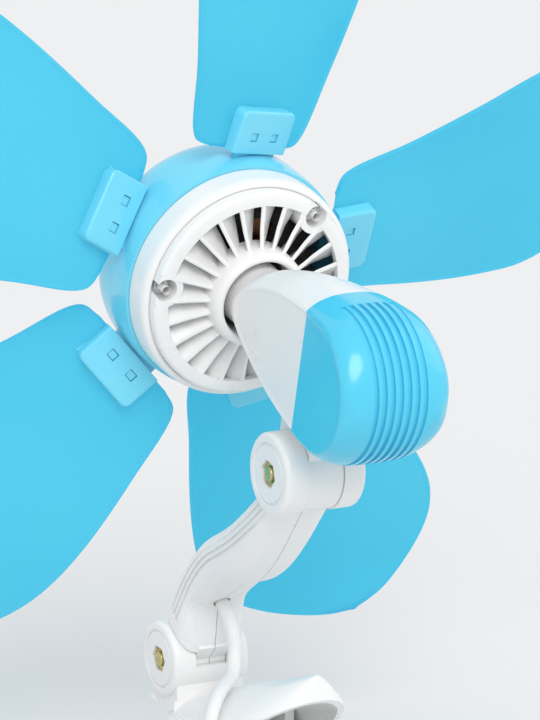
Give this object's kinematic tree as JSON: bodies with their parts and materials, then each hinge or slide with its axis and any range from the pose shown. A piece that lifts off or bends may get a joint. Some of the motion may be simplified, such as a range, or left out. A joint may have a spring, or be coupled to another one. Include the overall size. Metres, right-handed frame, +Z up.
{
  "type": "clip fan",
  "caption": "Clip fan with a louvred hub, wide twisted blades, a tilting motor head on a hinged arm and a spring clip with rubber jaws, a switched cord and a plug.",
  "frame": {"origin": "on the flat underside of the clip's lower half, below the front of the low knuckle, where the fan stands on a table", "axes": "+Z up from the surface the clip stands on, -Y the way the fan blows, +X to the left of someone who looks at the front of the fan; the head and the arm lie on the YZ plane"},
  "size_m": [0.3844, 0.2099, 0.4208],
  "materials": {
    "white_plastic": "satin moulded plastic, slightly warm white",
    "blue_plastic": "glossy opaque sky blue plastic",
    "blade_plastic": "translucent light blue plastic, smooth",
    "steel": "zinc plated, fine turned",
    "motor_black": "black painted sheet steel",
    "copper_wire": "enamelled copper wire",
    "brass": "yellow passivated, slightly green",
    "dark_plastic": "matt dark plastic",
    "pad_rubber": "matt ribbed rubber",
    "cord_skin": "soft white cord sheath"
  },
  "bodies": {
    "clip_body": {"clip_upper": "white_plastic", "low_knuckle_bolt": "brass", "low_knuckle_nut": "brass", "clip_pin": "steel", "clip_spring": "steel", "upper_jaw_pad": "pad_rubber", "cord_lead": "cord_skin", "switch_base": "white_plastic", "switch_cover": "white_plastic", "cord_link": "cord_skin", "cord_coil": "cord_skin", "coil_strap": "white_plastic", "cord_tail": "cord_skin", "plug_body": "white_plastic", "plug_prong_left": "steel", "plug_prong_right": "steel"},
    "clip_jaw": {"clip_lower": "white_plastic", "lower_jaw_pad": "pad_rubber"},
    "arm": {"arm_left": "white_plastic", "arm_right": "white_plastic", "top_knuckle_bolt": "brass", "top_knuckle_nut": "brass"},
    "head": {"motor_shaft": "steel", "stator_core": "steel", "rear_winding": "copper_wire", "front_winding": "copper_wire", "shaft_nut": "brass", "motor_neck": "white_plastic", "tail_cap": "blue_plastic", "run_capacitor": "dark_plastic"},
    "rotor": {"rotor_cover": "white_plastic", "hub_cowl": "blue_plastic", "fan_blade_1": "blade_plastic", "fan_blade_2": "blade_plastic", "fan_blade_3": "blade_plastic", "fan_blade_4": "blade_plastic", "fan_blade_5": "blade_plastic", "cover_screw_1": "steel", "cover_screw_2": "steel", "cover_screw_3": "steel", "rotor_can": "motor_black", "rotor_end_cap": "motor_black", "front_bearing": "steel", "rear_bearing": "steel"},
    "rocker": {"switch_rocker": "blue_plastic"}
  },
  "joints": [
    {"name": "arm_hinge", "type": "hinge", "parent": "clip_body", "child": "arm", "pos_m": [0, -0.0173, 0.057], "axis": [1, 0, 0], "range_deg": [0, 30]},
    {"name": "head_hinge", "type": "hinge", "parent": "arm", "child": "head", "pos_m": [0, 0.07776, 0.1544], "axis": [1, 0, 0], "range_deg": [-75, 0]},
    {"name": "rotor_spin", "type": "hinge", "parent": "head", "child": "rotor", "pos_m": [0, 0.03, 0.216], "axis": [0, 0.969, -0.247], "continuous": true},
    {"name": "jaw_hinge", "type": "hinge", "parent": "clip_body", "child": "clip_jaw", "pos_m": [0, 0.0227, 0.021], "axis": [1, 0, 0], "range_deg": [0, 28], "stiffness_Nm_per_rad": 2, "springref_deg": -34.38, "deforming": ["clip_spring"]},
    {"name": "rocker_hinge", "type": "hinge", "parent": "clip_body", "child": "rocker", "pos_m": [0.109, 0.0825, 0.0104], "axis": [0, 1, 0], "range_deg": [0, 16]}
  ]
}
